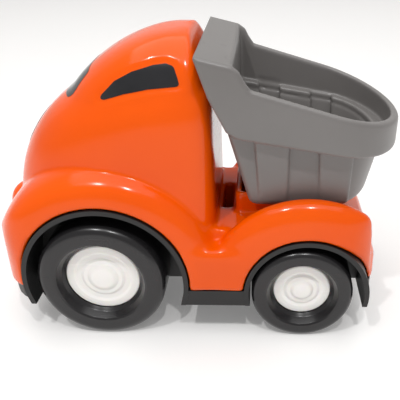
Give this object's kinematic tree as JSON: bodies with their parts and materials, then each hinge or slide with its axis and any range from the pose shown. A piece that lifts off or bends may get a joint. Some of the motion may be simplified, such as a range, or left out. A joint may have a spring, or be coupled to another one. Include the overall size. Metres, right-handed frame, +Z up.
{
  "type": "toy dump truck",
  "caption": "Toy dump truck with a rounded hooded cab, bulging fenders, free-rolling dished wheels on through axles, and a ribbed tub bed that tips back on a cross pin.",
  "frame": {"origin": "on the ground, in the middle of the length and the width", "axes": "+X from the nose to the tail, +Y to the truck's right side, +Z up"},
  "size_m": [0.13, 0.064, 0.0933],
  "materials": {
    "shell": "glossy moulded orange plastic",
    "base": "satin black plastic",
    "bed": "semi-gloss grey plastic",
    "tire": "semi-gloss black plastic",
    "hubcap": "glossy warm white plastic",
    "film": "glossy dark film",
    "badge": "glossy white film with a dark red edge",
    "steel": "bright drawn steel"
  },
  "bodies": {
    "truck_body": {"body_shell": "shell", "chassis_base": "base", "bed_hinge_pin": "steel", "window_left": "film", "window_right": "film", "windshield": "film", "hood_badge": "badge", "chassis_screws": "steel"},
    "tipping_bed": {"dump_bed": "bed"},
    "front_wheels": {"front_axle": "steel", "front_tire_left": "tire", "front_tire_right": "tire", "front_hubcap_left": "hubcap", "front_hubcap_right": "hubcap"},
    "rear_wheels": {"rear_axle": "steel", "rear_tire_left": "tire", "rear_tire_right": "tire", "rear_hubcap_left": "hubcap", "rear_hubcap_right": "hubcap"}
  },
  "joints": [
    {"name": "bed_tip", "type": "hinge", "parent": "truck_body", "child": "tipping_bed", "pos_m": [0.0455, 0, 0.0404], "axis": [0, 1, 0], "range_deg": [0, 48]},
    {"name": "front_wheels_roll", "type": "hinge", "parent": "truck_body", "child": "front_wheels", "pos_m": [-0.0285, 0, 0.0204], "axis": [0, 1, 0], "continuous": true},
    {"name": "rear_wheels_roll", "type": "hinge", "parent": "truck_body", "child": "rear_wheels", "pos_m": [0.0355, 0, 0.0163], "axis": [0, 1, 0], "continuous": true}
  ]
}
